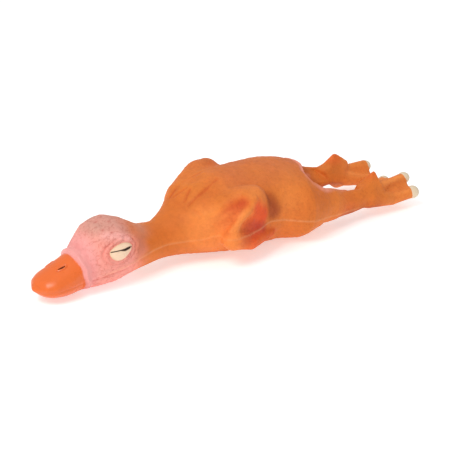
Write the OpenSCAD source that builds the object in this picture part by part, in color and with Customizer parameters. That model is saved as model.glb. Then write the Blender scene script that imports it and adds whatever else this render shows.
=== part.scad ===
// Rubber duck prank toy: a plucked, plump bird cast in latex, with a squeaker in its belly.
// It lies on its belly: X is across the bird, Y runs from bill (-) to feet (+), Z is up.
// The latex skin is one shell in the real toy, parted here where it flexes.

/* [Body] */
// Length from the bill's tip to the longest toes
toy_length = 394; // [330:1:440]
// Width of the torso at the hips, without the wings
torso_width = 82; // [70:1:95]
// Height of the torso's back above the ground
torso_height = 70; // [60:1:80]
// Thickness of the latex skin
wall = 2; // [1.5:0.1:2.5]

/* [Relief] */
// How far a closed eyelid stands out of the face
eyelid_height = 1.6; // [1:0.1:2.5]
// How far a toenail stands out of its toe
nail_height = 1.2; // [0.8:0.1:2]

/* [Squeaker] */
// Outer radius of the squeaker's cup
cup_r = 9; // [8:0.5:11]
// Height of the squeaker's cup
cup_h = 10; // [9:0.5:12]
// Depth of the squeaker's face below the belly's skin
cup_recess = 1; // [0.5:0.1:1.5]
// Number of air holes in the cup's face and in its cap
air_holes = 6; // [4:1:8]
// Radius of each air hole
air_hole_r = 0.9; // [0.6:0.1:1.2]

/* [Hidden] */

// Colours of the latex and of its hand-painted areas
skin_colour = [0.88, 0.49, 0.24];
face_colour = [0.97, 0.65, 0.60];
bill_colour = [0.94, 0.45, 0.21];
eye_colour = [0.95, 0.88, 0.76];
nail_colour = [0.88, 0.82, 0.68];
plastic_colour = [0.93, 0.93, 0.90];

// The nominal toy is 394 long, 82 wide and 70 high; other sizes stretch it.
kx = torso_width / 82;
ky = toy_length / 394;
kz = torso_height / 70;
function place(p) = [p[0] * kx, p[1] * ky, p[2] * kz];

// Stations from the bill's tip to the rump: [y, half width, underside, top, egg].
// "egg" makes a section wider above its middle than below it.
STATIONS = [
    [-197, 7, 10, 17, 0], [-193, 13, 6.5, 20.5, 0], [-185, 17, 3.5, 24, 0], [-174, 17.5, 2, 28.5, 0],
    [-165, 16, 2.5, 33, 0], [-160, 17, 3.5, 38, 0.04], [-152, 20.5, 2, 49, 0.08], [-142, 23.5, 0.5, 57, 0.1],
    [-130, 24.5, 0, 60, 0.12], [-118, 23.5, 1, 57.5, 0.12], [-106, 20.5, 4, 50, 0.1], [-94, 17, 8, 43, 0.05],
    [-80, 16.5, 9, 42, 0.05], [-68, 21, 7, 49, 0.08], [-54, 29, 4, 60, 0.1], [-40, 34.5, 1, 67, 0.08],
    [-18, 38.5, -3, 70, 0.03], [12, 40.5, -3, 70, 0], [42, 41, -3, 66.5, 0], [65, 39, 1, 62, 0],
    [80, 33, 8, 58.5, 0], [88, 25, 15, 55, 0]
];
RINGS = 44;
RING_POINTS = 32;

// Where the skin is parted, as places along Y and heights
bill_y = -162;
throat_y = [-108, -92];
neck_y = [-80, -56];
hip_y = [88, 102];
ankle_y = [133, 143];
flank_z = [22, 40];
mouth_z = 13;
// A hair of room between two pieces that move apart
gap = 0.1;
far = 300;

// Centres and radii of the balls that a leg and a foot are stretched over (left side)
thigh = [26, 58, 31];
knee = [30, 104, 23];
ankle = [28, 142, 22];
thigh_r = 29;
knee_r = 13.5;
ankle_r = 9.8;
// Each toe: root, knuckle, tip, and the radius at each
TOES = [
    [[30, 142, 20], [33, 168, 17], [36, 191, 13], 9, 7, 6],
    [[27, 142, 25], [25, 168, 26], [22, 190, 26], 8.5, 7, 6],
    [[25, 142, 23], [17, 163, 21.5], [9, 181, 20], 8, 6.5, 5.5]
];
WEB_R = 2.2;
spur_root = [27, 146, 25];
spur_tip = [27, 148, 43];
// Wing: shoulder pad, elbow, wrist, wing tip
shoulder = [36, -8, 48];
elbow = [43, 4, 58];
wrist = [44, -34, 29];
wing_tip = [43, 18, 21];
wing_clear = 0.35;

eye_at = [26, -127, 34.5];
eye_size = [6, 22, 9];

squeaker_y = 22;
collar_h = 7;
cup_wall = 1.5;
ledge_h = 2.5;
ledge_w = 1;
block_h = 2;
reed_size = [3, 9, 0.2];
slot_size = [1.6, 6];
cap_h = 1.5;
fit_gap = 0.05;

// Cubic easing between two stations, without overshoot
function slope(i, k) = (STATIONS[i + 1][k] - STATIONS[i][k]) / (STATIONS[i + 1][0] - STATIONS[i][0]);
function tangent(i, k) =
    i <= 0 ? slope(0, k)
    : i >= len(STATIONS) - 1 ? slope(len(STATIONS) - 2, k)
    : slope(i - 1, k) * slope(i, k) <= 0 ? 0
    : 2 * slope(i - 1, k) * slope(i, k) / (slope(i - 1, k) + slope(i, k));
function station_below(y, i = 0) = i >= len(STATIONS) - 2 || STATIONS[i + 1][0] >= y ? i : station_below(y, i + 1);
function along(y, k) =
    let (i = station_below(y), run = STATIONS[i + 1][0] - STATIONS[i][0],
         t = min(max((y - STATIONS[i][0]) / run, 0), 1))
    (2 * t^3 - 3 * t^2 + 1) * STATIONS[i][k] + (t^3 - 2 * t^2 + t) * run * tangent(i, k)
    + (3 * t^2 - 2 * t^3) * STATIONS[i + 1][k] + (t^3 - t^2) * run * tangent(i + 1, k);

// One ring of the trunk, drawn in by "inset" and never below the ground line
function ring(y, inset) =
    let (half = along(y, 1) - inset, low = along(y, 2) + inset, high = along(y, 3) - inset,
         middle = (low + high) / 2, rise = (high - low) / 2, egg = along(y, 4))
    [for (i = [0:RING_POINTS - 1])
        let (a = 360 * i / RING_POINTS)
        place([half * (1 + egg * sin(a)) * cos(a), y, max(middle + rise * sin(a), inset)])];

// The trunk from bill to rump as one closed solid
module trunk(inset) {
    first = STATIONS[0][0] + inset;
    last = STATIONS[len(STATIONS) - 1][0] - inset;
    points = [for (r = [0:RINGS]) each ring(first + (last - first) * r / RINGS, inset)];
    walls = [for (r = [0:RINGS - 1], i = [0:RING_POINTS - 1])
        let (a = r * RING_POINTS + i, b = r * RING_POINTS + (i + 1) % RING_POINTS)
        each [[a, b, a + RING_POINTS], [b, b + RING_POINTS, a + RING_POINTS]]];
    ends = [[for (i = [RING_POINTS - 1:-1:0]) i],
            [for (i = [0:RING_POINTS - 1]) RINGS * RING_POINTS + i]];
    polyhedron(points, concat(walls, ends), convexity = 8);
}

module ball(at, r, detail = 24) {
    translate(place(at)) sphere(r, $fn = detail);
}

// A stretch of limb between two balls
module limb(from, to, from_r, to_r, detail = 24) {
    hull() {
        ball(from, from_r, detail);
        ball(to, to_r, detail);
    }
}

// Thigh and shank of one side
module leg_form(side, inset) {
    mirror([side < 0 ? 1 : 0, 0, 0]) {
        limb(thigh, knee, thigh_r - inset, knee_r - inset);
        limb(knee, ankle, knee_r - inset, ankle_r - inset);
    }
}

// Trunk and both legs, drawn in by "inset" or let out where it is negative
module form(inset) {
    trunk(inset);
    leg_form(1, inset);
    leg_form(-1, inset);
}

module latex() {
    difference() {
        form(0);
        form(wall);
    }
}

// Box between two corners, given in nominal sizes
module block(low, high) {
    a = place(low);
    translate(a) cube(place(high) - a);
}

module between_y(low, high) {
    intersection() {
        children();
        block([-far, low, -far], [far, high, far]);
    }
}

module between_z(low, high) {
    intersection() {
        children();
        block([-far, -far, low], [far, far, high]);
    }
}

module one_side(side) {
    intersection() {
        children();
        block([side > 0 ? 0 : -far, -far, -far], [side > 0 ? far : 0, far, far]);
    }
}

module belly_skin() {
    color(skin_colour)
        difference() {
            union() {
                between_z(-gap, flank_z[0]) between_y(neck_y[1], hip_y[0]) latex();
                translate([0, squeaker_y * ky, 0]) cylinder(r = cup_r + wall, h = collar_h, $fn = 64);
            }
            translate([0, squeaker_y * ky, -1]) cylinder(r = cup_r + fit_gap, h = collar_h + 2, $fn = 64);
        }
}

module flank_flex() {
    color(skin_colour * 0.95)
        between_z(flank_z[0] + gap, flank_z[1] - gap) between_y(neck_y[1], hip_y[0]) latex();
}

module back_skin() {
    color(skin_colour)
        between_z(flank_z[1], far) between_y(neck_y[1], hip_y[0]) latex();
}

// Folded plucked wing: pad at the shoulder, forearm down to the wrist, hand back along the flank
module wing(side) {
    color(skin_colour * 0.97)
        difference() {
            mirror([side < 0 ? 1 : 0, 0, 0]) {
                limb(shoulder, elbow, 12, 7);
                limb(elbow, wrist, 7, 6.5);
                limb(wrist, wing_tip, 6.5, 4);
            }
            form(0);
            between_z(-far, flank_z[1] + 1) form(-wing_clear);
        }
}

module neck_flex() {
    color(skin_colour * 0.95) between_y(neck_y[0] + gap, neck_y[1] - gap) latex();
}

module neck_skin() {
    color(skin_colour) between_y(throat_y[1], neck_y[0]) latex();
}

module throat_flex() {
    color(skin_colour * 0.95) between_y(throat_y[0] + gap, throat_y[1] - gap) latex();
}

module head_skin() {
    color(face_colour) between_y(bill_y, throat_y[0]) latex();
}

module upper_bill() {
    color(bill_colour) between_z(mouth_z, far) between_y(-far, bill_y) latex();
}

module lower_bill() {
    color(bill_colour) between_z(-far, mouth_z) between_y(-far, bill_y) latex();
}

// Closed, swollen eyelid: a raised almond on the cheek
module eyelid(side) {
    color(eye_colour)
        intersection() {
            difference() {
                form(-eyelid_height);
                form(0);
            }
            mirror([side < 0 ? 1 : 0, 0, 0])
                translate(place(eye_at)) scale(eye_size / 2) sphere(1, $fn = 32);
        }
}

module hip_flex(side) {
    color(skin_colour * 0.95) one_side(side) between_y(hip_y[0] + gap, hip_y[1] - gap) latex();
}

module leg_skin(side) {
    color(skin_colour) one_side(side) between_y(hip_y[1], ankle_y[0]) latex();
}

module ankle_flex(side) {
    color(skin_colour * 0.95) one_side(side) between_y(ankle_y[0] + gap, ankle_y[1] - gap) leg_form(side, 0);
}

// Three toes with knuckles, and the two webs between them
module foot_form(side, outset = 0) {
    mirror([side < 0 ? 1 : 0, 0, 0]) {
        for (toe = TOES) {
            limb(toe[0], toe[1], toe[3] + outset, toe[4] + outset, 16);
            limb(toe[1], toe[2], toe[4] + outset, toe[5] + outset, 16);
        }
        for (i = [0:len(TOES) - 2])
            hull()
                for (toe = [TOES[i], TOES[i + 1]]) {
                    ball(toe[0], WEB_R, 16);
                    ball((toe[1] + 2 * toe[2]) / 3, WEB_R, 16);
                }
    }
}

module foot(side) {
    color(skin_colour) between_y(ankle_y[1], far) foot_form(side);
}

module hind_toe(side) {
    color(skin_colour)
        difference() {
            between_y(ankle_y[1], far)
                mirror([side < 0 ? 1 : 0, 0, 0]) limb(spur_root, spur_tip, 8, 2, 16);
            foot_form(side);
        }
}

// One nail over the tip of each toe
module toenails(side) {
    color(nail_colour)
        intersection() {
            difference() {
                foot_form(side, nail_height);
                foot_form(side);
            }
            mirror([side < 0 ? 1 : 0, 0, 0])
                for (toe = TOES)
                    translate(place(toe[2] + [0, 4, 4])) scale([4, 5, 5]) sphere(1, $fn = 16);
        }
}

module squeaker_at(z) {
    translate([0, squeaker_y * ky, z]) children();
}

module air_hole_ring(z, h) {
    for (i = [0:air_holes - 1])
        rotate(360 * i / air_holes)
            translate([cup_r - cup_wall - ledge_w - 2 * air_hole_r, 0, z]) cylinder(r = air_hole_r, h = h, $fn = 24);
}

// Moulded cup with a ledge that the reed block sits on
module squeaker_cup() {
    color(plastic_colour)
        squeaker_at(cup_recess)
            difference() {
                cylinder(r = cup_r, h = cup_h, $fn = 64);
                translate([0, 0, cup_wall]) cylinder(r = cup_r - cup_wall - ledge_w, h = cup_h, $fn = 64);
                translate([0, 0, cup_wall + ledge_h]) cylinder(r = cup_r - cup_wall, h = cup_h, $fn = 64);
                air_hole_ring(-1, cup_wall + 2);
            }
}

module reed_block() {
    color(plastic_colour * 0.95)
        squeaker_at(cup_recess + cup_wall + ledge_h)
            difference() {
                cylinder(r = cup_r - cup_wall - fit_gap, h = block_h, $fn = 64);
                translate([-slot_size[0] / 2, -slot_size[1] / 2, -1]) cube([slot_size[0], slot_size[1], block_h + 2]);
            }
}

module reed() {
    color("gold")
        squeaker_at(cup_recess + cup_wall + ledge_h + block_h + fit_gap)
            translate([-reed_size[0] / 2, -reed_size[1] / 2, 0]) cube(reed_size);
}

module squeaker_cap() {
    color(plastic_colour)
        squeaker_at(cup_recess + cup_h - cap_h)
            difference() {
                cylinder(r = cup_r - cup_wall - fit_gap, h = cap_h, $fn = 64);
                air_hole_ring(-1, cap_h + 2);
            }
}

belly_skin();
flank_flex();
back_skin();
wing(1);  // left_wing
wing(-1);  // right_wing
neck_flex();
neck_skin();
throat_flex();
head_skin();
upper_bill();
lower_bill();
eyelid(1);  // left_eyelid
eyelid(-1);  // right_eyelid
squeaker_cup();
reed_block();
reed();
squeaker_cap();
hip_flex(1);  // left_hip_flex
leg_skin(1);  // left_leg_skin
ankle_flex(1);  // left_ankle_flex
foot(1);  // left_foot
hind_toe(1);  // left_hind_toe
toenails(1);  // left_toenails
hip_flex(-1);  // right_hip_flex
leg_skin(-1);  // right_leg_skin
ankle_flex(-1);  // right_ankle_flex
foot(-1);  // right_foot
hind_toe(-1);  // right_hind_toe
toenails(-1);  // right_toenails
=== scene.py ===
"""Plucked rubber duck, cast in latex: one signed-distance shape, meshed and parted where the toy bends.

Lengths are nominal millimetres in the frame's axes (X across, Y from bill to feet, Z up), for a toy 394 long,
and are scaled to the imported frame.
"""
import itertools
import math

import bmesh
import bpy
import numpy as np
import openvdb
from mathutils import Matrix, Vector


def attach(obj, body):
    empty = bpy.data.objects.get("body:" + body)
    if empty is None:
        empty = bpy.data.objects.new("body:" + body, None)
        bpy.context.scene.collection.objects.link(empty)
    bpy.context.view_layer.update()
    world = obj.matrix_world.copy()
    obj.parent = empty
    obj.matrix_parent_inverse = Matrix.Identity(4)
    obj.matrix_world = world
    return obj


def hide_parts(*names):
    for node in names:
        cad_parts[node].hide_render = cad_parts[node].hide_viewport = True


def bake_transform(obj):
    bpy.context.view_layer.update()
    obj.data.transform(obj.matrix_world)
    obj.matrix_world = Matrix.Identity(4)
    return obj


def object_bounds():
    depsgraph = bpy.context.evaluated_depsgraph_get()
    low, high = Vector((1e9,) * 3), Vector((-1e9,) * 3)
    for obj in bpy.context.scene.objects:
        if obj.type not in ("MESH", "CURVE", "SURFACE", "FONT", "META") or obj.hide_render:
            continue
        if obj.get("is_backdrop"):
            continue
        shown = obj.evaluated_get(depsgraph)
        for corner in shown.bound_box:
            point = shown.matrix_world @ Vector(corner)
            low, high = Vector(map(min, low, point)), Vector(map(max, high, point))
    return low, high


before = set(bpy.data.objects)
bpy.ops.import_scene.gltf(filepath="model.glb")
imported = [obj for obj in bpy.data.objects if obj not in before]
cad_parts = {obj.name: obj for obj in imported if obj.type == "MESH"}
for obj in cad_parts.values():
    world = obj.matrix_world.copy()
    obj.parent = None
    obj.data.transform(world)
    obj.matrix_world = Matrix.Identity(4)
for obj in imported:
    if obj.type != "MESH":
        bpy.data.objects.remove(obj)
CAD_LOW, CAD_HIGH = (list(c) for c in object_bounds())

# ---------------------------------------------------------------- frame and sizes
NOMINAL_LENGTH = 394.0
UNIT = (CAD_HIGH[1] - CAD_LOW[1]) / NOMINAL_LENGTH  # metres in one nominal millimetre
VOXEL = 1.0  # spacing of the skin's mesh
COARSE = 4.0  # spacing of the first pass that finds where the skin is
LOW = np.array([-64.0, -206.0, -8.0])  # corners of the box that is meshed
HIGH = np.array([64.0, 212.0, 84.0])
SKIN = 2.0  # thickness of the latex
THINNEST = 0.35  # and where the toy itself is thin
SQUEAKER_Y = 22.0
COLLAR_R = 9.1  # radius of the hole in the belly for the squeaker

# Places along Y where one piece ends and the next begins, and the zones that bend
BILL_Y = -162.0
NECK = (-50.0, -86.0)
FRONT = (-50.0, -24.0)
REAR = (84.0, 50.0)
SQUEEZE = (14.0, 48.0)  # this one is along Z
HIP = (96.0, 120.0)
FOOT_Y = 124.0  # where the feet's pieces begin

# Stations of the trunk from the bill's root to the rump: y, half width, underside, top, egg
TRUNK = np.array([
    [-167, 14, 7, 30, 0], [-160, 17, 4, 38, 0.05], [-152, 20.5, 2.5, 47, 0.08],
    [-142, 23, 1.5, 56, 0.1], [-130, 24, 1.5, 58.5, 0.12], [-118, 23, 3, 55, 0.12],
    [-106, 20.5, 5.5, 48.5, 0.1], [-94, 17.5, 7.2, 43, 0.05], [-80, 16.5, 8.2, 41.5, 0.05],
    [-68, 19.5, 8, 46, 0.06], [-54, 26, 6.5, 56, 0.06], [-40, 32.5, 4, 64.5, 0.05],
    [-18, 38.5, 0.5, 70.7, 0.03], [12, 40.5, -2, 71.6, 0], [40, 41, -2, 70.4, 0],
    [58, 38, 1, 67.3, 0], [71, 34, 5, 62.4, 0], [80, 28, 10, 56, 0], [87, 18, 17, 48, 0],
])
# Stations of the bill: y, half width, underside, top
BILL = np.array([
    [-197, 7, 10, 17], [-193, 13, 6.5, 21], [-185, 17, 3.5, 25], [-174, 17.5, 2, 30],
    [-162, 16, 2.5, 36], [-154, 13, 4, 41],
])


# ---------------------------------------------------------------- distance field helpers
def column(y, table, k):
    """Cubic through one column of a station table, without overshoot."""
    ys, v = table[:, 0], table[:, k]
    slope = np.diff(v) / np.diff(ys)
    tangent = np.concatenate([slope[:1], np.zeros(len(v) - 2), slope[-1:]])
    both = slope[1:] * slope[:-1]
    tangent[1:-1] = np.where(both > 0, 2 * both / (slope[1:] + slope[:-1] + 1e-12), 0)
    y = np.clip(y, ys[0], ys[-1])
    i = np.clip(np.searchsorted(ys, y) - 1, 0, len(ys) - 2)
    run = ys[i + 1] - ys[i]
    t = (y - ys[i]) / run
    return (
        (2 * t**3 - 3 * t**2 + 1) * v[i]
        + (t**3 - 2 * t**2 + t) * run * tangent[i]
        + (3 * t**2 - 2 * t**3) * v[i + 1]
        + (t**3 - t**2) * run * tangent[i + 1]
    )


def join(a, b, k):
    """Smooth union with a fillet of about k."""
    h = np.clip(0.5 + 0.5 * (b - a) / k, 0, 1)
    return b + (a - b) * h - k * h * (1 - h)


def carve(a, b, k):
    """a with b cut away, its edges rounded by about k."""
    return -join(-a, b, k)


def length(v):
    """Length of each row."""
    return np.sqrt((v * v).sum(-1))


def ellipsoid(p, centre, radii, lean=0.0):
    """Ellipsoid, leaning by so many degrees about X."""
    q = p - np.array(centre, float)
    a = math.radians(-lean)
    y = q[:, 1] * math.cos(a) - q[:, 2] * math.sin(a)
    z = q[:, 1] * math.sin(a) + q[:, 2] * math.cos(a)
    q = np.stack([q[:, 0], y, z], -1)
    r = np.array(radii, float)
    near = length(q / r)
    return near * (near - 1) / np.maximum(length(q / r**2), 1e-6)


def cone(p, a, b, ra, rb):
    """Tapered capsule from a to b."""
    a, b = np.array(a, float), np.array(b, float)
    q, d = p - a, b - a
    t = np.clip((q @ d) / (d @ d), 0, 1)
    return length(q - t[:, None] * d) - (ra + (rb - ra) * t)


def chain(p, points, radii, k=0.0):
    """Tapered capsules through a list of points, with fillets of about k."""
    out = None
    for a, b, ra, rb in zip(points, points[1:], radii, radii[1:]):
        piece = cone(p, a, b, ra, rb)
        out = piece if out is None else (join(out, piece, k) if k else np.minimum(out, piece))
    return out


def line_distance(p, points):
    """Distance to a line through a list of points."""
    return chain(p, points, [0] * len(points))


def loft(p, table):
    """Ovals through a table of stations along Y: y, half width, underside, top and, if given, egg."""
    y = p[:, 1]
    w, low, high = (column(y, table, k) for k in (1, 2, 3))
    middle, rise = (low + high) / 2, (high - low) / 2
    up = (p[:, 2] - middle) / rise
    if table.shape[1] > 4:
        w = w * (1 + column(y, table, 4) * np.clip(up, -1, 1))
    d = (np.sqrt((p[:, 0] / w) ** 2 + up**2) - 1) * np.minimum(w, rise)
    over = np.maximum(np.maximum(table[0, 0] - y, y - table[-1, 0]), 0)
    return np.where(over > 0, np.hypot(np.maximum(d, 0), over), d)


def step(x, a, b):
    """Smooth 0 to 1 as x goes from a to b."""
    t = np.clip((x - a) / (b - a), 0, 1)
    return t * t * (3 - 2 * t)


def bump(d, width):
    """1 where d is 0, falling smoothly to near 0 at twice the width."""
    return np.exp(-((d / width) ** 2))


def mirrored(p):
    """The points brought over to the left side."""
    m = p.copy()
    m[:, 0] = np.abs(m[:, 0])
    return m


NOISE_TABLE = 4096  # a power of two
HASH = (73856093, 19349663, 83492791)  # one large odd number for each axis


def noise(p, size, seed):
    """Smooth lattice noise from -1 to 1."""
    table = np.random.RandomState(seed).uniform(-1, 1, NOISE_TABLE)
    q = p / size + seed * 7.31
    cell = np.floor(q).astype(np.int64)
    f = q - cell
    f = f * f * (3 - 2 * f)
    out = 0.0
    for corner in itertools.product((0, 1), repeat=3):
        i, j, k = (cell + corner).T
        key = (i * HASH[0] ^ j * HASH[1] ^ k * HASH[2]) & (NOISE_TABLE - 1)
        wx, wy, wz = np.where(corner, f, 1 - f).T
        out = out + table[key] * wx * wy * wz
    return out


# ---------------------------------------------------------------- the duck's form
RUMP_LIP = [
    (0, 75, 59.6), (8, 73, 59.4), (16, 69, 57.3), (25, 65, 53), (31, 66, 47.3),
    (33, 76, 41.8), (30, 88, 36.7), (27, 100, 33.5), (25, 114, 29.5),
]
RUMP_LIP_RADII = [1.8, 1.8, 1.8, 1.8, 1.8, 1.6, 1.3, 1, 0.6]
WING_PAD = ((34.5, -8.5, 43), (13, 22, 22), 12)  # middle, radii and lean
UPPER_ARM = [(25, -44, 46), (36, -16, 56), (38.5, -4, 57)]
UPPER_ARM_RADII = [7.5, 8, 7]
FOREARM = [(46, -12, 57), (48, -23, 48), (47, -34, 36), (45, -33, 27)]
FOREARM_RADII = [2.0, 2.1, 3, 4.6]
HAND = [(43, -30, 25), (43, -12, 19.5), (37, 15, 19)]
HAND_RADII = [8, 7, 3.6]
WING_CUTS = [  # hollows in and behind the wing: points, radii, and how far their edges are rounded
    ([(57, -28, 55), (54.5, -38, 45)], [6, 5], 9),
    ([(56, -4, 44), (54, -9, 32)], [2.2, 3.4], 10),
    ([(50, -14, 25.5), (46, 8, 25)], [1, 1], 3),
    ([(42, 13.5, 57), (45, 15.5, 46), (44, 11, 33)], [1.2, 2, 1.5], 4),
]
THIGH = [(25, 57, 27.5), (26, 92, 22.8)]
THIGH_RADII = [25, 13.6]
SHANK = [(26, 92, 22.5), (26, 105, 20), (26, 118, 19.2), (27, 140, 21)]
SHANK_RADII = [14, 12, 11, 10]
VENT_FRONT, VENT_REAR = 89, 119  # along Y
VENT_HALF_WIDTH = 18  # without its rounded ends
VENT_ENDS = 14  # their radius
VENT_GROUND = 22  # height of its ground in the middle
SPUR_TIP = (27, 149.5, 44)
SPUR_LIMIT = ((26.5, 149, 30), (9, 17, 18))  # the fin keeps within it: middle and radii
WEB = 1.8  # half the thickness of the web between the toes
TOES = [  # outer, middle and inner
    [(30, 142, 18), (34, 166, 12.8), (38, 185, 15.2)],
    [(27, 142, 24), (25.5, 168, 25), (23.5, 190, 24.5)],
    [(24, 142, 22), (16, 162, 22), (9.5, 178.5, 20)],
]
TOE_RADII = [[9, 6, 5.2], [7.5, 4.2, 4.6], [7, 4.2, 4.2]]
TOES_START = 150  # Y from which the right toes are shortened
NAIL_REACH = [3.5, 1.6, 2.0]  # how far each toenail's centre is past its toe's
NAIL_OVERLAP = 1.2  # how much broader a nail is than its toe
NAIL_LENGTH = 6.2  # half length
NAIL_FLATNESS = 0.94  # height over width
EYE = (24.0, -130.1, 35.8)  # middle of the left closed eye
EYE_LENGTH, EYE_HEIGHT = 10.8, 7.2  # half sizes
EYE_LEAN = 1.8  # how far back the top of the eye leans
NOSTRIL = [(6, -179, 27.1), (7.3, -173.4, 29)]
BROW = [(16.6, -140.7, 49.5), (20.2, -130, 47.5), (21.5, -121.9, 44)]
SHOULDER_CREASES = [
    [(11.2, -22.3, 68), (13.5, -39.1, 61.9), (12.6, -54.3, 53.3)],
    [(2, -44, 62), (7, -54, 55.5)],
]

# How the right side differs from the left one
RIGHT_NOSTRIL = np.array([3.5, 0, -3.5])  # further out and lower
RIGHT_WING = np.array([5.0, -4, -4.5])  # how far its points are moved before they are measured
RIGHT_LIFT = 9.5  # how much higher its leg leaves the body
RIGHT_ARCH = [(-9, 128, 8), (-20, 139, 5), (-38, 142, 1.5)]  # cut from under its ankle
RIGHT_ARCH_RADII = [11, 12.5, 12.5]
SHORTER = 1.12  # how much shorter its toes are
RIGHT_SPLAY = np.array([0, 6, -5])  # how its inner toe ends further back and lower


def wing(m):
    """Folded wing: pad, upper arm, forearm and hand."""
    w = join(ellipsoid(m, *WING_PAD), chain(m, UPPER_ARM, UPPER_ARM_RADII, 4), 9)
    w = join(w, chain(m, FOREARM, FOREARM_RADII), 8)
    return join(w, chain(m, HAND, HAND_RADII), 10)


def triangle(p, a, b, c):
    """Distance to a flat triangle."""
    a, b, c = (np.array(v, float) for v in (a, b, c))
    n = np.cross(b - a, a - c)
    sides = [(b - a, p - a), (c - b, p - b), (a - c, p - c)]
    outside = sum(np.sign(q @ np.cross(e, n)) for e, q in sides) < 2
    edge = np.min([
        length(q - np.outer(np.clip(q @ e / (e @ e), 0, 1), e)) for e, q in sides
    ], axis=0)
    return np.where(outside, edge, np.abs((p - a) @ n) / np.linalg.norm(n))


def spur(m, right):
    """Hind toe: a four-sided fin, steep outside and behind, longer behind on the right foot."""
    x, y, z = (m - np.array(SPUR_TIP)).T
    behind = 3.0 - 2.35 * right
    sides = [
        -0.7 * y + 0.72 * z,
        -0.86 * x + 0.5 * z,
        0.92 * x + 0.4 * z,
        (behind * y + z) / np.sqrt(1 + behind**2),
    ]
    fin = sides[0]
    for face in sides[1:]:
        fin = -join(-fin, -face, 2.5)
    return -join(-fin, -ellipsoid(m, *SPUR_LIMIT), 2)


def vent(m):
    """The hollow behind the rump, between the legs."""
    x, y, z = m.T
    front = VENT_FRONT - 10 * step(x, 4, 24)
    past = np.maximum(np.maximum(front - y, y - VENT_REAR), 0)
    side = np.hypot(np.maximum(x - VENT_HALF_WIDTH, 0), past) - VENT_ENDS
    # the ground rises to the sides, more at the front
    ground = VENT_GROUND + (x / 26) ** 2 * (17 - 0.25 * (y - 88))
    return np.maximum(side, 0.8 * (ground - z))


def foot(m, right):
    """Three toes with webs between them, and the hind toe."""
    inner = m - (right * step(m[:, 1], 140, 172))[:, None] * RIGHT_SPLAY
    toes = [chain(place, toe, radii) for place, toe, radii in zip((m, m, inner), TOES, TOE_RADII)]
    f = join(join(toes[0], toes[1], 3), toes[2], 3)
    between = m + (inner - m) * step(-m[:, 0], -22, -12)[:, None]
    for a, b, place in ((0, 1, m), (1, 2, between)):
        web = triangle(place, np.array(TOES[a][0]) + [0, 6, 0], TOES[a][2], TOES[b][2])
        f = join(f, web - WEB, 4)
    return join(f, spur(m, right), 3)


def duck(p):
    """Distance to the toy's outer skin, below zero inside."""
    y = p[:, 1]
    right = step(-p[:, 0], 0, 14)  # 1 on the right side, and 0 on the left
    m = mirrored(p)
    leg = m.copy()
    leg[:, 1] += right * (SHORTER - 1) * np.maximum(y - TOES_START, 0)
    leg[:, 2] -= right * RIGHT_LIFT * step(y, 64, 88) * step(-y, -142, -110)
    arm = m + right[:, None] * RIGHT_WING
    d = join(loft(p, TRUNK), loft(p, BILL), 3)
    # the right leg is 1 mm fuller
    d = join(d, cone(leg, *THIGH, *THIGH_RADII), 11)
    d = join(d, chain(leg, SHANK, SHANK_RADII) - right, 6)
    d = carve(d, vent(m), 3)
    d = join(d, foot(leg, right) - right, 5)
    d = carve(d, chain(p, RIGHT_ARCH, RIGHT_ARCH_RADII), 6)
    d = join(d, chain(m, RUMP_LIP, RUMP_LIP_RADII), 4)
    d = join(d, wing(arm), 4 + 8 * step(-y, 0, 30))
    for points, radii, rounding in WING_CUTS:
        d = carve(d, chain(arm, points, radii), rounding)
    return d


def gradient(p, h=0.4):
    """Unit direction away from the duck, from differences over a distance h to each side."""
    g = np.stack([duck(p + h * e) - duck(p - h * e) for e in np.eye(3)], -1)
    return g / np.maximum(length(g), 1e-9)[:, None]


# ---------------------------------------------------------------- meshing
SEARCH = 1.6  # coarse cells from the skin within which the fine pass measures
BATCH = 400000  # points measured at once


def grid_points(low, counts, spacing):
    """Points of a grid from its low corner."""
    axes = [low[i] + spacing * np.arange(counts[i]) for i in range(3)]
    return np.stack(np.meshgrid(*axes, indexing="ij"), -1)


def skin_mesh():
    """Quads on the zero of the duck's field, found by a coarse pass and then a fine one near the skin."""
    ratio = int(round(COARSE / VOXEL))
    counts = np.ceil((HIGH - LOW) / COARSE).astype(int)
    coarse = grid_points(LOW + COARSE / 2 - VOXEL / 2, counts, COARSE)
    value = duck(coarse.reshape(-1, 3)).reshape(counts)
    dense = value.repeat(ratio, 0).repeat(ratio, 1).repeat(ratio, 2).astype(np.float32)
    near = np.argwhere(np.abs(value) < SEARCH * COARSE)
    offsets = np.stack(np.meshgrid(*[np.arange(ratio)] * 3, indexing="ij"), -1).reshape(-1, 3)
    cells = (near[:, None, :] * ratio + offsets[None]).reshape(-1, 3)
    for part in np.array_split(cells, max(1, len(cells) // BATCH)):
        dense[tuple(part.T)] = duck(LOW + VOXEL * part)
    grid = openvdb.FloatGrid()
    grid.copyFromArray(dense)
    points, quads = grid.convertToQuads(0.0)
    points = LOW + VOXEL * points.astype(float)
    for _ in range(2):
        points -= duck(points)[:, None] * gradient(points)
    return points, quads


# ---------------------------------------------------------------- relief on the skin
def eye_place(p):
    """Places on the face round an eye, along and across it, in eye half-sizes."""
    across = (p[:, 2] - EYE[2]) / EYE_HEIGHT
    along = (p[:, 1] - EYE[1] - EYE_LEAN * across) / EYE_LENGTH
    return along, across


def broad_dents(p):
    """Shallow dents about 2 cm across."""
    return 0.35 * noise(p, 22, 1)


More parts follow.
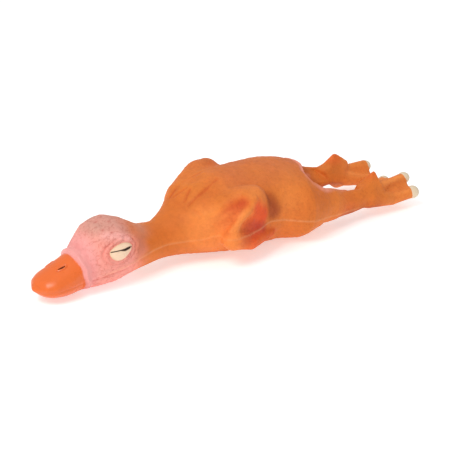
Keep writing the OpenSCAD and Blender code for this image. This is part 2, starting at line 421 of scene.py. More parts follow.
def relief(p, n):
    """How far each point of the skin stands out, for creases, wrinkles and pimples."""
    m = mirrored(p)
    x, y, z = m.T
    side = step(x, 6, 14)
    face = step(-y, 96, 112) * step(y, -166, -160)
    # broad dents of hand-made rubber, then a fine uneven skin
    out = broad_dents(p) + 0.16 * noise(p, 7, 2)
    # pimples on the face, largest below the eye
    pimple = np.clip(noise(p, 2.6, 3) - 0.15, 0, 1)
    out += face * 0.55 * pimple * (0.5 + 0.5 * step(z, 46, 30))
    # rings of wrinkles round the eye
    along, across = eye_place(p)
    ring = np.sqrt(along**2 + across**2) + 0.08 * noise(p, 6, 4)
    out += face * side * 0.5 * np.cos((ring - 1.2) * 12.0) * bump(ring - 1.45, 0.45)
    out -= face * side * 0.45 * bump(ring - 1.12, 0.1)
    out += face * side * 0.9 * bump(ring - 1.28, 0.12) * step(z, 38, 44)
    # fleshy rim behind the bill
    rim = y - bill_edge(p)
    out += 2.2 * bump(rim - 2.8, 2.0) * step(z, 2, 12)
    out -= 0.6 * bump(rim, 1.0) + 0.5 * bump(rim - 7.5, 2.5) * step(z, 2, 12)
    # wrinkled forehead and a brow standing out over the eye
    forehead = step(z, 40, 50) * face
    out += forehead * 0.3 * noise(p * [1, 0.5, 1], 4, 5)
    out += bump(line_distance(m, BROW), 3.0) * (0.5 + 0.5 * noise(p, 3, 15))
    # fold running back along the cheek from the corner of the mouth
    fold = z - (12 + 0.16 * (y + 160) + 1.2 * np.sin((y + 160) / 9))
    out -= 0.7 * bump(fold, 1.2) * step(y, -161, -156) * step(-y, 112, 128) * side
    out += 0.4 * bump(fold - 3, 1.6) * step(y, -161, -156) * step(-y, 108, 126) * side
    # line of the mouth along the bill
    out -= 0.5 * bump(z - mouth_line(y), 0.9) * step(-y, 158, 162) * step(x, 4, 9)
    # nostrils
    left = np.where(p[:, :1] > 0, p, p * [-1, 1, 1] - RIGHT_NOSTRIL)
    out -= 1.8 * step(-chain(left, NOSTRIL, [0.7, 0.7]), -1.2, 0.2)
    # fine wrinkles across the neck and its root
    neck = bump(y + 84, 18)
    out += 0.12 * neck * noise(p * [0.5, 3.0, 0.5], 5, 6)
    root = bump(y + 56, 12)
    out += 0.3 * root * noise(np.stack([x * 0.4, y * 1.6 + z * 0.8, z * 0.5 - y * 0.2], -1), 4.5, 7)
    # ribs running down and forward over the shoulder
    ribs = bump(y + 36, 16) * step(z, 38, 50)
    out += 0.45 * ribs * np.sin((z * 0.87 - y * 0.5) / 1.7 + 1.5 * noise(p, 9, 8))
    for crease in SHOULDER_CREASES:
        out -= 0.9 * bump(line_distance(m, crease) + 0.6 * noise(p, 8, 16), 1.5)
    # parting line of the mould, along the widest part of both sides
    seam = z - seam_height(y)
    out += 0.45 * bump(seam, 0.7) * step(x, 8, 12) * step(y, -150, -140) * step(-y, -150, -140)
    # goose skin on the back and thighs
    body = step(y, -50, -30) * step(-y, -110, -80)
    out += 0.5 * body * np.clip(noise(p, 3.4, 9) - 0.2, 0, 1)
    # scales across the toes
    toes = step(y, 150, 160)
    out += 0.1 * toes * np.sin(y * 1.6) * step(n[:, 2], -0.2, 0.4)
    return out


def bill_edge(p):
    """Y of the line where the orange bill meets the face, further back at the sides and below."""
    return -158.5 - 4.0 * step(p[:, 2], 8, 22) - 2.6 * step(p[:, 2], 24, 36)


def mouth_line(y):
    """Height of the line between the bill's halves."""
    return 11.5 + 0.06 * (y + 197)


SEAM = np.array([  # y and height of the mould's parting line
    [-165, 15], [-120, 21], [-87, 25.5], [-52, 26], [-34, 30], [-13, 28], [12, 30.5], [41, 25.5], [79, 18.5],
    [110, 15], [140, 14],
])


def seam_height(y):
    """Height of the mould's parting line."""
    return column(y, SEAM, 1)


# ---------------------------------------------------------------- colour of the skin
def srgb(r, g, b):
    """Linear colour from one given as sRGB from 0 to 255."""
    c = np.array([r, g, b], float) / 255
    return np.where(c <= 0.04045, c / 12.92, ((c + 0.055) / 1.055) ** 2.4)


ORANGE = srgb(226, 126, 48)
LIGHT_ORANGE = srgb(250, 150, 74)
DEEP_ORANGE = srgb(208, 102, 36)
WARM_PINK = srgb(208, 112, 66)
FACE = srgb(244, 160, 146)
FACE_TOP = srgb(208, 150, 134)
RIM = srgb(236, 158, 152)
PALE_PINK = srgb(250, 180, 172)
BILL_ORANGE = srgb(228, 107, 44)
RED = srgb(224, 74, 26)
CRIMSON = srgb(180, 42, 24)
LIP = srgb(240, 150, 124)
BROWN = srgb(168, 76, 30)
NOSTRIL_SHADE = srgb(60, 18, 10)
NAPE = srgb(216, 146, 120)
THROAT_SIDE = srgb(186, 104, 76)
SEAM_LIGHT = srgb(250, 190, 140)

PAINTED_HIGHLIGHTS = [  # painted highlights, given for the left side: amount, place and width
    (0.4, (42, -8, 61), 10), (0.4, (42, 34, 46), 15), (0.25, (24, 48, 62), 18), (0.25, (39, 101, 26), 14),
]
# Shaded places round the wing: points and radii
FRONT_HOLLOW = ([(45, -22, 56), (42, -28, 51), (41, -34, 44), (43, -40, 35)], [1, 3.5, 5, 3.5])
BACK_HOLLOW = ([(47, -9, 52), (46, -4, 41), (46, -15, 33)], [1.5, 7, 6.5])
UNDER_WRIST = ([(52, -28, 28), (47, -15, 25)], [2.5, 4])
HAND_CREASE = ([(47, -25, 25), (46, -14, 32), (44, 2, 28)], [1.5, 4, 1])
BEHIND_WING = ([(42, 14, 55), (43, 16, 40)], [2, 2])
WRIST = (51, -37, 28)
KNEE = (34, 106, 16)
FLECKS = [  # dark specks on the face
    (8.6, -131.3, 56.9), (2.3, -139.7, 56.6), (12.6, -140.2, 53), (17.1, -134.5, 50.9), (20.7, -144, 41.3),
]


def blend_to(colour, target, amount):
    """Colours moved towards a target by an amount from 0 to 1 at each point."""
    return colour + (target - colour) * np.clip(amount, 0, 1)[:, None]


def paint_wing(c, m):
    """Redder paint in the folds of the wing deepened with painted shade, a painted shadow behind it, and a
    painted highlight along the forearm.
    """
    front, back, below = (chain(m, *place) for place in (FRONT_HOLLOW, BACK_HOLLOW, UNDER_WRIST))
    hollow = np.minimum(np.minimum(front, back), below)
    # the toy's redder paint in the folds of the wing, with painted shade in them
    c = blend_to(c, RED, 0.9 * step(-hollow, -9, 2))
    # painted shade, deepest in the hollow at the front of the wing
    c = c * (1 - 0.22 * step(-front, -7, 0))[:, None]
    # painted shade in the crease between the hand and the pad
    c = blend_to(c, CRIMSON, 0.8 * step(-chain(m, *HAND_CREASE), -8, 0))
    # painted shadow behind the wing
    c = blend_to(c, BROWN, 0.95 * step(-chain(m, *BEHIND_WING), -10, -1))
    c = blend_to(c, RED, 0.6 * step(-chain(m, HAND, [3, 7, 3]), -6, 1))
    # painted highlight along the forearm's ridge
    c = blend_to(c, LIGHT_ORANGE, 0.6 * step(-chain(m, FOREARM, [2, 2, 2, 2]), -2.4, 0.2))
    return blend_to(c, BILL_ORANGE, 0.8 * bump(length(m - WRIST), 10))


def paint_legs(c, m, n):
    """Lighter toes, a red blush on the knees, painted highlights along the toes' crests, and painted shade on
    the undersides, in the hollow behind the rump and on the legs' inner fronts.
    """
    x, y, z = m.T
    down, forward = step(-n[:, 2], 0, 0.7), step(-n[:, 1], 0.2, 0.8)
    c = blend_to(c, LIGHT_ORANGE, 0.35 * step(y, 146, 160))
    c = blend_to(c, RED, 0.35 * bump(length(m - KNEE), 12))
    c = blend_to(c, BILL_ORANGE, 0.7 * step(z, 32, 40) * step(y, 138, 142) * step(-y, -158, -152))
    # painted shade on the sides and undersides of the legs, from the normal
    c = blend_to(c, DEEP_ORANGE, 0.6 * step(y, 96, 112) * step(-n[:, 2], -0.2, 0.6) * step(-y, -158, -142))
    # a lighter line along each toe's crest: the toy's paler paint there, with a painted highlight on top
    for toe in TOES:
        crest = line_distance(m, np.array(toe) + [2, 0, 3])
        c = blend_to(c, LIGHT_ORANGE, 0.7 * step(-crest, -3.5, -1) * step(y, 144, 152))
    # painted shade in the hollow behind the rump, its lip a paler pink
    c = blend_to(c, BROWN, 0.7 * step(-vent(m), -3, 0) * step(-y, -124, -112))
    lip = chain(m, RUMP_LIP, RUMP_LIP_RADII)
    c = blend_to(c, LIP, step(-lip, -3.7, -0.8) * (1 - 0.6 * step(y, 82, 108)))
    # painted shade on the faces that turn downwards
    c = blend_to(c, BROWN, 0.4 * down * step(y, 90, 104) * step(-y, -156, -142))
    # painted shade on the legs' inner faces that look forward
    return blend_to(c, BROWN, 0.6 * step(y, 96, 108) * step(-x, -24, -6) * forward)


def paint_face(c, p, m):
    """The pink face, fading into the neck."""
    y, z = m[:, 1], m[:, 2]
    fade = step(-y + 4 * noise(p, 9, 12) - 0.25 * (z - 30), 98, 122)
    top = step(z, 36, 56) * (0.85 + 0.3 * noise(p, 8, 13))
    face = blend_to(np.repeat(FACE[None], len(p), 0), FACE_TOP, top)
    face = blend_to(face, RIM, step(-y, 146, 156))
    face = blend_to(face, FACE * [1, 0.78, 0.72], 0.5 * bump(z - 36, 10) * bump(y + 142, 8))
    c = c + (face - c) * fade[:, None]
    c = blend_to(c, NAPE, 0.7 * bump(y + 101, 9) * step(z, 32, 44))
    c = blend_to(c, THROAT_SIDE, 0.5 * bump(y + 109, 7) * step(z, 22, 32) * step(-z, -46, -38))
    c = blend_to(c, PALE_PINK, 0.6 * bump(line_distance(m, BROW), 3.5))
    for place in FLECKS:
        c = blend_to(c, CRIMSON, 0.5 * bump(length((p - place) * [1, 0.6, 1]), 0.9))
    return c


def paint(p, n):
    """Colour of the latex at each point, its sprayed paint with painted shade and painted highlights, from
    its place and its outward normal.
    """
    m = mirrored(p)
    x, y, z = m.T
    c = np.repeat(ORANGE[None], len(p), 0)
    patch = noise(p, 26, 11)
    c = blend_to(c, DEEP_ORANGE, 0.35 + 0.35 * patch)
    # pinker on the back and the rump
    c = blend_to(c, WARM_PINK, step(z, 50, 68) * (0.55 + 0.3 * patch) * step(y, -40, 0))
    # painted highlights on the wing's pad, the flank, the back and the thigh
    for amount, place, width in PAINTED_HIGHLIGHTS:
        c = blend_to(c, LIGHT_ORANGE, amount * bump(length(m - place), width))
    c = paint_wing(c, m)
    c = paint_legs(c, m, n)
    c = paint_face(c, p, m)
    # the parting line catches the light
    seam = bump(z - seam_height(y), 0.8) * step(x, 8, 12) * step(y, -150, -140) * step(-y, -130, -110)
    c = blend_to(c, c * 0.5 + SEAM_LIGHT * 0.5, 0.55 * seam)
    # a painted highlight on the breast and shoulder, darker beside the neck's root
    c = blend_to(c, LIGHT_ORANGE, 0.65 * bump(y + 44, 24) * step(x, 12, 24) * step(-z, -62, -44))
    c = blend_to(c, BROWN, 0.2 * bump(y + 74, 22))
    # blotches left by the sprayed colour
    c = c * (1 + 0.05 * noise(p, 9, 14))[:, None]
    # painted shade in the creases, from the same relief that shapes them
    depth = relief(p, n) - broad_dents(p)
    c = blend_to(c, c * [0.8, 0.5, 0.5], np.clip(-depth * 0.55, 0, 0.8))
    # bill
    c = blend_to(c, BILL_ORANGE, step(bill_edge(p) - y, -0.4, 0.4))
    return np.clip(c, 0, 1)


def pores(p):
    """Where the latex is pitted and wrinkled: most on the face, a little on the body, none on the bill."""
    y, z = p[:, 1], p[:, 2]
    face = step(-y, 104, 120) * step(y, -158, -150)
    calm = 0.35 * step(z, 30, 44) * step(-y, 138, 148)
    body = 0.3 * step(y, -60, -30)
    return np.clip(face * (1 - calm) + body + 0.18, 0, 1) * step(y - bill_edge(p), 0, 1)


# ---------------------------------------------------------------- pieces
def row(p):
    """Nominal millimetres to metres in the frame."""
    return np.asarray(p, float) * UNIT


def new_mesh(name, points, faces):
    """An object with a mesh, from points in nominal millimetres."""
    mesh = bpy.data.meshes.new(name)
    mesh.from_pydata(row(points).tolist(), [], faces)
    mesh.validate()
    obj = bpy.data.objects.new(name, mesh)
    bpy.context.collection.objects.link(obj)
    return obj


def finish_mesh(mesh, colour, material):
    """Smooth shading, the colour "paint" at each point, and the material."""
    mesh.polygons.foreach_set("use_smooth", np.ones(len(mesh.polygons), bool))
    rgba = np.ones((len(mesh.vertices), 4), np.float32)
    rgba[:, :3] = colour
    mesh.color_attributes.new("paint", "FLOAT_COLOR", "POINT").data.foreach_set("color", rgba.ravel())
    mesh.materials.append(material)


def shell_faces(outer, total):
    """Faces of a closed shell: outer ones, the same reversed on points total further on, and a rim."""
    inner = [[v + total for v in reversed(f)] for f in outer]
    edges = dict.fromkeys((a, b) for f in outer for a, b in zip(f, f[1:] + f[:1]))
    rim = [[b, a, a + total, b + total] for a, b in edges if (b, a) not in edges]
    return outer + inner + rim


def cut_planes():
    """Planes where pieces part, as (point, normal)."""
    rise = SQUEEZE[1] - SQUEEZE[0]
    planes = [((0, y, 0), (0, 1, 0)) for y in (BILL_Y, NECK[1], NECK[0], REAR[0], HIP[0], FOOT_Y)]
    for start, end in (FRONT, REAR):
        planes.append(((0, start, SQUEEZE[0]), (0, rise, start - end)))
    return planes


def parted_skin():
    """The skin's points and faces, with edges along every parting plane."""
    points, quads = skin_mesh()
    mesh = bpy.data.meshes.new("whole")
    mesh.from_pydata(points.tolist(), [], quads.tolist())
    bm = bmesh.new()
    bm.from_mesh(mesh)
    bpy.data.meshes.remove(mesh)
    for place, normal in cut_planes():
        bmesh.ops.bisect_plane(
            bm, geom=bm.verts[:] + bm.edges[:] + bm.faces[:], dist=1e-4, plane_co=place, plane_no=normal
        )
    bm.verts.index_update()
    points = np.array([v.co for v in bm.verts])
    faces = [[v.index for v in f.verts] for f in bm.faces]
    bm.free()
    return points, faces


def flat_index(faces):
    """Every face's corners in one array, and how many corners each face has."""
    counts = np.array([len(f) for f in faces])
    return np.concatenate([np.asarray(f) for f in faces]), counts


def vertex_normals(points, corners, counts, starts):
    """Normals at the points, weighted by the area of the faces round them."""
    total = np.zeros_like(points)
    for k in range(1, counts.max() - 1):
        has = counts > k + 1
        s = starts[has]
        a, b, c = corners[s], corners[s + k], corners[s + k + 1]
        area = np.cross(points[b] - points[a], points[c] - points[a])
        for v in (a, b, c):
            np.add.at(total, v, area)
    return total / np.maximum(length(total), 1e-12)[:, None]


def shell_depth(points, normals):
    """Thickness of the skin at each point, less where the toy itself is thin."""
    room = np.max([-duck(points - s * normals) for s in (1.0, 2.0, 3.5)], axis=0)
    return np.clip(0.6 * room, THINNEST, SKIN)


class Skin:
    """The whole skin, with its relief, colour and inner side, from which the pieces are taken."""

    def __init__(self):
        points, self.faces = parted_skin()
        n = gradient(points)
        points = points + n * relief(points, n)[:, None]
        points[:, 2] = np.maximum(points[:, 2], 0)
        corners, counts = flat_index(self.faces)
        starts = np.concatenate([[0], np.cumsum(counts)[:-1]])
        self.points = points
        self.normals = vertex_normals(points, corners, counts, starts)
        self.inner = points - n * shell_depth(points, n)[:, None]
        self.colour = paint(points, self.normals)
        self.pores = pores(points)
        self.middles = np.add.reduceat(points[corners], starts) / counts[:, None]

    def piece(self, name, chosen, material):
        """A closed shell of the chosen faces: outer skin, inner skin and the rim between them."""
        picked = [self.faces[i] for i in np.flatnonzero(chosen)]
        used = np.unique(np.concatenate([np.asarray(f) for f in picked]))
        new = {int(v): i for i, v in enumerate(used)}
        outer = [[new[v] for v in f] for f in picked]
        total = len(used)
        points = np.concatenate([self.points[used], self.inner[used]])
        obj = new_mesh(name, points, shell_faces(outer, total))
        mesh = obj.data
        finish_mesh(mesh, np.concatenate([self.colour[used], np.tile(ORANGE, (total, 1))]), material)
        mesh.normals_split_custom_set_from_vertices(
            np.concatenate([self.normals[used], -self.normals[used]])
        )
        pits = np.concatenate([self.pores[used], np.zeros(total)]).astype(np.float32)
        mesh.attributes.new("pores", "FLOAT", "POINT").data.foreach_set("value", pits)
        return obj


# ---------------------------------------------------------------- materials
def shader(name):
    """A new material, its nodes, its links and its main shader."""
    material = bpy.data.materials.new(name)
    material.use_nodes = True
    nodes = material.node_tree.nodes
    return material, nodes, material.node_tree.links, nodes["Principled BSDF"]


def texture(nodes, links, kind, scale, **settings):
    """A procedural texture in the piece's own metres."""
    place = nodes.new("ShaderNodeTexCoord")
    node = nodes.new(kind)
    links.new(place.outputs["Object"], node.inputs["Vector"])
    node.inputs["Scale"].default_value = scale
    for key, value in settings.items():
        node.inputs[key].default_value = value
    return node


def ramp(nodes, links, source, low, high, a=0.0, b=1.0):
    """source taken from low at a to high at b."""
    node = nodes.new("ShaderNodeMapRange")
    node.inputs["From Min"].default_value = a
    node.inputs["From Max"].default_value = b
    node.inputs["To Min"].default_value = low
    node.inputs["To Max"].default_value = high
    links.new(source, node.inputs["Value"])
    return node.outputs["Result"]


def mixed(nodes, links, blend, factor, a, b):
    """Colours a and b mixed; factor and b may be sockets or constants."""
    node = nodes.new("ShaderNodeMix")
    node.data_type = "RGBA"
    node.blend_type = blend
    node.clamp_factor = True
    for key, value in (("Factor", factor), ("A", a), ("B", b)):
        socket = next(i for i in node.inputs if i.name == key and i.enabled)
        if isinstance(value, bpy.types.NodeSocket):
            links.new(value, socket)
        else:
            socket.default_value = value
    return next(o for o in node.outputs if o.enabled)


def calculated(nodes, links, operation, *values):
    """Result of a Math node; values may be sockets or constants."""
    node = nodes.new("ShaderNodeMath")
    node.operation = operation
    for socket, value in zip(node.inputs, values):
        if isinstance(value, bpy.types.NodeSocket):
            links.new(value, socket)
        else:
            socket.default_value = value
    return node.outputs[0]


def product(nodes, links, *values):
    """Values multiplied together."""
    out = values[0]
    for value in values[1:]:
        out = calculated(nodes, links, "MULTIPLY", out, value)
    return out


def bumped(nodes, links, bsdf, height, strength, distance):
    """Gives the shader a bump from a height."""
    press = nodes.new("ShaderNodeBump")
    press.inputs["Strength"].default_value = strength
    press.inputs["Distance"].default_value = distance
    links.new(height, press.inputs["Height"])
    links.new(press.outputs["Normal"], bsdf.inputs["Normal"])


def painted(nodes, name):
    """One of the attributes that each piece of skin carries."""
    node = nodes.new("ShaderNodeAttribute")
    node.attribute_name = name
    return node


WRINKLE_WIDTH = 0.018  # in units of the noise
PIT_SHADE = (0.72, 0.3, 0.28, 1)  # the paint is multiplied by these, for painted shade in the pits and wrinkles
WRINKLE_SHADE = (0.75, 0.4, 0.36, 1)


def latex(name, roughness, gloss, grain, speckle):
    """Painted latex: the "paint" colour with its painted shade and highlights, a fine mottle, and pits and
    wrinkles, darkened with painted shade, where "pores" is high.
    """
    material, nodes, links, bsdf = shader(name)
    tint = painted(nodes, "paint").outputs["Color"]
    pitted = painted(nodes, "pores").outputs["Fac"]
    # pits about 2 mm apart, in patches
    cells = texture(nodes, links, "ShaderNodeTexVoronoi", 430.0, Randomness=1.0)
    patches = texture(nodes, links, "ShaderNodeTexNoise", 90.0, Detail=2.0)
    pit = product(
        nodes, links, ramp(nodes, links, cells.outputs["Distance"], 1, 0, 0.12, 0.42),
        ramp(nodes, links, patches.outputs["Fac"], 0.1, 1, 0.4, 0.62), pitted,
    )
    # wrinkles: thin crooked lines along the middle level of a noise
    swirl = texture(nodes, links, "ShaderNodeTexNoise", 170.0, Detail=3.0, Roughness=0.55, Distortion=0.8)
    line = calculated(nodes, links, "COMPARE", swirl.outputs["Fac"], 0.5, WRINKLE_WIDTH)
    smooth = ramp(nodes, links, patches.outputs["Fac"], 1, 0.2, 0.4, 0.6)
    wrinkle = product(nodes, links, line, smooth, pitted)
    mottle = texture(nodes, links, "ShaderNodeTexNoise", 240.0, Detail=5.0, Roughness=0.7)
    spots = ramp(nodes, links, mottle.outputs["Fac"], 1 - speckle, 1 + speckle, 0.35, 0.65)
    colour = mixed(nodes, links, "MULTIPLY", 1.0, tint, spots)
    # painted shade in the pits and wrinkles
    colour = mixed(nodes, links, "MULTIPLY", product(nodes, links, pit, 0.5), colour, PIT_SHADE)
    colour = mixed(nodes, links, "MULTIPLY", product(nodes, links, wrinkle, 0.5), colour, WRINKLE_SHADE)
    links.new(colour, bsdf.inputs["Base Color"])
    wear = texture(nodes, links, "ShaderNodeTexNoise", 70.0, Detail=4.0)
    worn = ramp(nodes, links, wear.outputs["Fac"], roughness - 0.06, roughness + 0.08, 0.3, 0.7)
    links.new(worn, bsdf.inputs["Roughness"])
    fine = texture(nodes, links, "ShaderNodeTexNoise", 900.0, Detail=3.0, Roughness=0.6)
    rise = product(nodes, links, fine.outputs["Fac"], 0.5)
    dents = calculated(nodes, links, "ADD", pit, wrinkle)
    bumped(nodes, links, bsdf, calculated(nodes, links, "SUBTRACT", rise, dents), grain, 0.0005)
    bsdf.inputs["IOR"].default_value = 1.42
    bsdf.inputs["Specular IOR Level"].default_value = gloss
    return material


def moulded_plastic():
    """White plastic of the squeaker."""
    material, nodes, links, bsdf = shader("moulded_plastic")
    grain = texture(nodes, links, "ShaderNodeTexNoise", 1400.0, Detail=2.0)
    bumped(nodes, links, bsdf, grain.outputs["Fac"], 0.2, 0.0001)
    links.new(ramp(nodes, links, grain.outputs["Fac"], 0.42, 0.55), bsdf.inputs["Roughness"])
    bsdf.inputs["Base Color"].default_value = (0.84, 0.84, 0.8, 1)
    return material


def spring_brass():
    """Brass of the squeaker's reed."""
    material, nodes, links, bsdf = shader("spring_brass")
    scratches = texture(nodes, links, "ShaderNodeTexNoise", 2500.0, Detail=4.0)
    links.new(ramp(nodes, links, scratches.outputs["Fac"], 0.25, 0.45), bsdf.inputs["Roughness"])
    bsdf.inputs["Base Color"].default_value = (0.72, 0.5, 0.2, 1)
    bsdf.inputs["Metallic"].default_value = 1.0
    return material


# ---------------------------------------------------------------- eyelids and nails
CREAM = srgb(240, 207, 176)
CREAM_SHADE = srgb(222, 192, 154)
NAIL = srgb(226, 206, 176)
SLIT = srgb(58, 34, 22)


def onto_skin(points, rounds=6):
    """Points moved onto the duck's skin, with the skin's normals there."""
    for _ in range(rounds):
        n = gradient(points)
        points = points - duck(points)[:, None] * n
    return points, gradient(points)


def lens(name, start, height, tint, material, counts, sunk=0.7):
    """A closed lens lying on the skin, sunk a little into it, of so many rows and columns of points.

    start, height and tint take u, v over a disc of radius 1.
    """
    rows, columns = counts
    s, t = np.meshgrid(np.linspace(-1, 1, rows), np.linspace(-1, 1, columns), indexing="ij")
    u = (s * np.sqrt(1 - t**2 / 2)).ravel()
    v = (t * np.sqrt(1 - s**2 / 2)).ravel()
    base, n = onto_skin(start(u, v))
    top = base + n * height(u, v)[:, None]
    bottom = base - n * sunk
    faces = []
    for i, j in itertools.product(range(rows - 1), range(columns - 1)):
        a = i * columns + j
        faces.append([a, a + columns, a + columns + 1, a + 1])
    total = len(u)
    obj = new_mesh(name, np.concatenate([top, bottom]), shell_faces(faces, total))
    mesh = obj.data
    finish_mesh(mesh, np.concatenate([tint(u, v), np.tile(CREAM, (total, 1))]), material)
    bm = bmesh.new()
    bm.from_mesh(mesh)
    bmesh.ops.recalc_face_normals(bm, faces=bm.faces[:])
    bm.to_mesh(mesh)
    bm.free()
    return obj


def slit_distance(u, v):
    """Across the line where the lids meet, in eye half-heights."""
    return v - 0.06 - 0.2 * (1 - u**2) + 0.05 * bump(u - 0.2, 0.25)


def side_name(side):
    """The word for a side, 1 or -1."""
    return "left" if side > 0 else "right"


def eyelid(side, material):
    """A closed eye: both lids as one dome, with the line between them."""

    def start(u, v):
        x = np.full_like(u, side * EYE[0])
        y = EYE[1] + EYE_LENGTH * u + EYE_LEAN * v
        z = EYE[2] - 0.4 + EYE_HEIGHT * v * (1 - 0.2 * u**2) + 1.6 * u**2
        return np.stack([x, y, z], -1)

    def height(u, v):
        r = np.sqrt(u**2 + v**2)
        dome = 1.9 * np.sqrt(np.clip(1 - r**2, 0, 1)) ** 1.2
        width = 0.07 + 0.05 * step(u, -0.1, 0.4)
        groove = 1.1 * bump(slit_distance(u, v), width) * step(-np.abs(u), -1, -0.88)
        folds = 0.12 * np.cos(v * 20) * step(-r, -0.95, -0.6)
        return np.maximum(dome - groove + folds, -0.4)

    def tint(u, v):
        r = np.sqrt(u**2 + v**2)
        c = np.repeat(CREAM[None], len(u), 0)
        # painted shade round the edge of the lid, where it meets the face
        c = blend_to(c, CREAM_SHADE, step(r, 0.75, 1.0) * 0.7)
        width = 0.08 + 0.13 * step(u, -0.3, 0.3) * step(-u, -0.98, -0.6)
        dark = step(-np.abs(slit_distance(u, v)), -width, -0.5 * width) * step(-np.abs(u), -0.99, -0.94)
        return blend_to(c, SLIT, dark)

    return lens(side_name(side) + "_closed_eye", start, height, tint, material, (72, 64))


def nostril(side, material):
    """The lining of a nostril: a slot coloured with painted shade, with soft lips."""
    front, rear = np.array(NOSTRIL)
    along = rear - front
    reach = np.linalg.norm(along) / 2 + 1.6
    along /= np.linalg.norm(along)
    across = np.cross(along, (0.6, -0.3, 0.74))
    across /= np.linalg.norm(across)

    def start(u, v):
        p = (front + rear) / 2 + np.outer(u * reach, along) + np.outer(v * 2.3, across)
        return p if side > 0 else (p + RIGHT_NOSTRIL) * [-1, 1, 1]

    def slot(u, v):
        return step(-np.sqrt(u**2 + (1.9 * v) ** 2), -0.85, -0.55)

    def height(u, v):
        return 0.12 + 0.35 * bump(u**2 + v**2 - 0.55, 0.4) - 1.3 * slot(u, v)

    def tint(u, v):
        c = np.repeat(BILL_ORANGE[None], len(u), 0)
        # painted shade in the slot
        return blend_to(c, NOSTRIL_SHADE, slot(u, v))

    return lens(side_name(side) + "_nostril", start, height, tint, material, (30, 24), sunk=1.8)


def toenail(side, index, material):
    """A thick nail capping the end of a toe: a flattened dome, broader than the toe."""
    middle, tip = (np.array(TOES[index][i], float) for i in (1, 2))
    along = (tip - middle) / np.linalg.norm(tip - middle)
    across = np.cross(along, (0, 0, 1))
    across /= np.linalg.norm(across)
    up = np.cross(across, along)
    radius = TOE_RADII[index][2] + NAIL_OVERLAP
    bm = bmesh.new()
    bmesh.ops.create_uvsphere(bm, u_segments=32, v_segments=20, radius=1.0)
    q = np.array([v.co for v in bm.verts])
    faces = [[v.index for v in f.verts] for f in bm.faces]
    bm.free()
    p = tip + NAIL_REACH[index] * along
    p = p + np.outer(q[:, 2] * NAIL_LENGTH, along) + np.outer(q[:, 0] * radius, across)
    p = p + np.outer(q[:, 1] * radius * NAIL_FLATNESS, up)
    if side < 0:
        p += RIGHT_SPLAY * (index == 2)
        p[:, 1] = TOES_START + (p[:, 1] - TOES_START) / SHORTER
    else:
        faces = [f[::-1] for f in faces]  # across, up and along are left-handed
    name = side_name(side) + "_" + ("outer", "middle", "inner")[index] + "_toenail"
    obj = new_mesh(name, p * [side, 1, 1], faces)
    colour = blend_to(np.repeat(NAIL[None], len(p), 0), NAIL * 0.72, step(q[:, 2], 0.3, 0.95))
    finish_mesh(obj.data, colour, material)
    return obj


# ---------------------------------------------------------------- the toy
def build():
    """Every visible piece; the bill, eyes, nostrils and toenails ride on the bodies they belong to."""
    skin = Skin()
    x, y, z = skin.middles.T
    rubber = latex("latex_skin", roughness=0.58, gloss=0.3, grain=0.6, speckle=0.05)
    bill_rubber = latex("latex_bill", roughness=0.3, gloss=0.5, grain=0.2, speckle=0.03)
    cream = latex("cream_paint", roughness=0.38, gloss=0.5, grain=0.12, speckle=0.03)
    # the back's pieces lie above slopes that fall to the front and to the rear
    rise = (z - SQUEEZE[0]) / (SQUEEZE[1] - SQUEEZE[0])
    torso = (y > NECK[0]) & (y < HIP[0])
    front = (y > NECK[0]) & (y < REAR[0] / 2) & (rise > (y - FRONT[0]) / (FRONT[1] - FRONT[0]))
    rear = (y > REAR[0] / 2) & (y < HIP[0]) & (rise > (REAR[0] - y) / (REAR[0] - REAR[1]))
    hole = (np.hypot(x, y - SQUEAKER_Y) < COLLAR_R) & (z < 10)

    main = skin.piece("torso_skin", torso & ~front & ~rear & ~hole, rubber)
    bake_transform(main)
    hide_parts("belly_skin", "flank_flex", "left_wing", "right_wing")
    shoulder = skin.piece("shoulder_skin", torso & front, rubber)
    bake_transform(shoulder)
    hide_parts("back_skin")
    rump = skin.piece("rump_skin", torso & rear, rubber)
    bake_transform(rump)
    neck = skin.piece("neck_skin_and_root", (y < NECK[0]) & (y > NECK[1]), rubber)
    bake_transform(neck)
    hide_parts("neck_flex", "neck_skin")
    head = skin.piece("head_and_throat", (y < NECK[1]) & (y > BILL_Y), rubber)
    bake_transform(head)
    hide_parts("throat_flex", "head_skin")
    bill = skin.piece("bill", y < BILL_Y, bill_rubber)
    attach(bill, "head")
    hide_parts("upper_bill", "lower_bill")
    for side, word in ((1, "left"), (-1, "right")):
        half = x * side > 0
        leg = skin.piece(word + "_leg", half & (y > HIP[0]) & (y < FOOT_Y), rubber)
        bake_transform(leg)
        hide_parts(word + "_hip_flex", word + "_leg_skin")
        paddle = skin.piece(word + "_webbed_foot", half & (y > FOOT_Y), rubber)
        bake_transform(paddle)
        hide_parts(word + "_ankle_flex", word + "_foot", word + "_hind_toe")
        lid = eyelid(side, cream)
        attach(lid, "head")
        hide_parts(word + "_eyelid")
        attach(nostril(side, bill_rubber), "head")
        for index in range(3):
            nail = toenail(side, index, cream)
            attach(nail, word + "_paddle")
            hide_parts(word + "_toenails")
    plastic = moulded_plastic()
    for node in ("squeaker_cup", "reed_block", "squeaker_cap"):
        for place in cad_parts[node].material_slots:
            place.material = plastic
    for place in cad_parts["reed"].material_slots:
        place.material = spring_brass()


# ---------------------------------------------------------------- floor, light and camera
CAMERA_AZIMUTH, CAMERA_ELEVATION = 51.0, 22.0  # degrees
CAMERA_DISTANCE = 1200.0  # nominal millimetres
CAMERA_AIM = (3.3, -6.1, 19.6)
FOCAL_TO_WIDTH = 3.0626  # focal length over the width of the sensor
SENSOR = 36.0  # real millimetres
LAMP_AIM = (0, 0, 0.03)  # metres


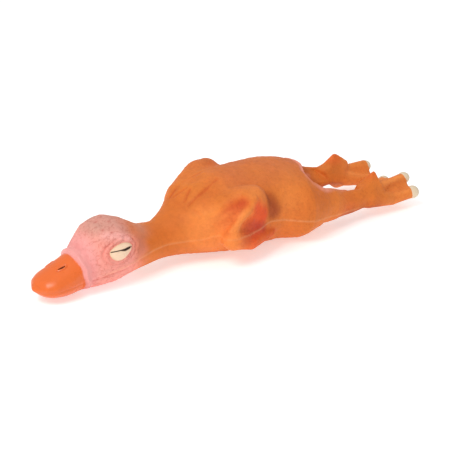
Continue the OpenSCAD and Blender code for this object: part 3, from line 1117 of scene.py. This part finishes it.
def floor():
    """A pale matt floor that nearly vanishes into the white ground."""
    material, _, _, bsdf = shader("pale_floor")
    bsdf.inputs["Base Color"].default_value = (0.8, 0.8, 0.8, 1)
    bsdf.inputs["Roughness"].default_value = 0.9
    bsdf.inputs["Emission Color"].default_value = (1, 1, 1, 1)
    bsdf.inputs["Emission Strength"].default_value = 0.45
    bpy.ops.mesh.primitive_plane_add(size=6.0)
    plane = bpy.context.object
    plane.name = "floor"
    plane.data.materials.append(material)
    plane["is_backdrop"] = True


def area_light(name, place, size, power):
    """A square lamp of so many metres and watts, turned towards the toy."""
    data = bpy.data.lights.new(name, "AREA")
    data.energy = power
    data.size = size
    light = bpy.data.objects.new(name, data)
    light.location = place
    light.rotation_euler = (Vector(LAMP_AIM) - Vector(place)).to_track_quat("-Z", "Y").to_euler()
    bpy.context.collection.objects.link(light)


def lights():
    """A white studio with a soft key light in front and a weaker one behind."""
    world = bpy.data.worlds.new("studio")
    world.use_nodes = True
    background = world.node_tree.nodes["Background"]
    background.inputs["Color"].default_value = (1, 1, 1, 1)
    background.inputs["Strength"].default_value = 0.58
    bpy.context.scene.world = world
    bpy.context.scene.view_settings.view_transform = "Standard"
    area_light("key", place=(0.3, -0.9, 1.1), size=0.6, power=10)
    area_light("top", place=(-0.5, 0.4, 1.3), size=1.0, power=2.2)


def camera():
    """A long lens ahead of the toy, to its left and a little above."""
    a, e = math.radians(CAMERA_AZIMUTH), math.radians(CAMERA_ELEVATION)
    away = np.array([math.sin(a) * math.cos(e), -math.cos(a) * math.cos(e), math.sin(e)])
    aim = row(CAMERA_AIM)
    data = bpy.data.cameras.new("camera")
    data.sensor_width = SENSOR
    data.lens = SENSOR * FOCAL_TO_WIDTH
    view = bpy.data.objects.new("camera", data)
    view.location = aim + away * CAMERA_DISTANCE * UNIT
    view.rotation_euler = (Vector(aim) - Vector(view.location)).to_track_quat("-Z", "Y").to_euler()
    bpy.context.collection.objects.link(view)
    bpy.context.scene.camera = view


camera()
floor()
lights()
build()
